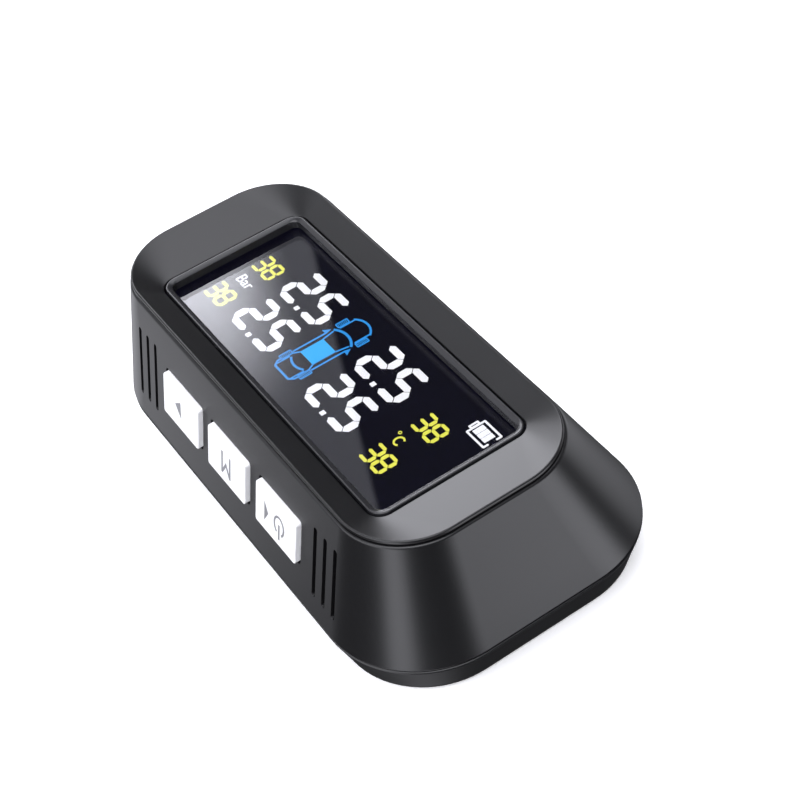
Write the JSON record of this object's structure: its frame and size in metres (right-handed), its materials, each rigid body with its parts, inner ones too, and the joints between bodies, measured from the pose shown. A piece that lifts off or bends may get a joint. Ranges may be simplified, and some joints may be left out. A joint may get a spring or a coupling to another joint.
{
  "type": "tyre pressure display",
  "caption": "Solar tyre pressure display for a dashboard or windscreen: dished bezel, segment screen, flaring case, push buttons and vent slots on one flank.",
  "frame": {"origin": "bottom centre of the whole unit, on the plane of the grip pads", "axes": "+Z out of the screen, +X along the reading direction of the screen and the longest side, +Y towards the top of the screen, buttons on the -Y flank"},
  "size_m": [0.0906, 0.0506, 0.0288],
  "materials": {
    "case": "satin moulded ABS",
    "trim": "semi-gloss rim",
    "lens": "dark tinted window",
    "screen": "black segment screen",
    "acrylic": "light guide",
    "white_plastic": "white moulded plastic",
    "button": "white button caps with grey symbols",
    "chip": "black epoxy",
    "board": "green solder mask",
    "steel": "plated steel",
    "foil": "pouch foil",
    "foam": "soft grey",
    "lead_red": "insulation",
    "lead_black": "insulation",
    "copper": "copper wire",
    "solar_cell": "laminated solar cell",
    "pad": "matt grip pad",
    "digit_white": "lit segments",
    "digit_yellow": "lit segments",
    "car_blue": "lit segments",
    "button_ink": "printed symbols"
  },
  "bodies": {
    "case": {"front_bezel": "case", "housing": "case", "back_cover": "case", "window_trim": "trim", "display_lens": "lens", "lcd_cell": "screen", "light_guide": "acrylic", "lcd_frame": "white_plastic", "contact_strip": "foam", "switch_left": "chip", "switch_middle": "chip", "switch_right": "chip", "main_board": "board", "controller_chip": "chip", "receiver_chip": "chip", "crystal_can": "steel", "battery_plug": "white_plastic", "buzzer": "chip", "battery": "foil", "battery_foam": "foam", "battery_lead_red": "lead_red", "battery_lead_black": "lead_black", "solar_lead": "lead_black", "charging_socket": "steel", "socket_tongue": "chip", "antenna_spring": "copper", "solar_panel": "solar_cell", "grip_pad_left": "pad", "grip_pad_right": "pad", "screw_1": "steel", "screw_2": "steel", "screw_3": "steel", "screw_4": "steel"},
    "button_left_body": {"button_left": "button", "switch_plunger_left": "white_plastic"},
    "button_middle_body": {"button_middle": "button", "switch_plunger_middle": "white_plastic"},
    "button_right_body": {"button_right": "button", "switch_plunger_right": "white_plastic"}
  },
  "joints": [
    {"name": "button_left_press", "type": "slide", "parent": "case", "child": "button_left_body", "axis": [0, 1, 0], "range_m": [0, 0.0004], "stiffness_N_per_m": 400},
    {"name": "button_middle_press", "type": "slide", "parent": "case", "child": "button_middle_body", "axis": [0, 1, 0], "range_m": [0, 0.0004], "stiffness_N_per_m": 400},
    {"name": "button_right_press", "type": "slide", "parent": "case", "child": "button_right_body", "axis": [0, 1, 0], "range_m": [0, 0.0004], "stiffness_N_per_m": 400}
  ]
}
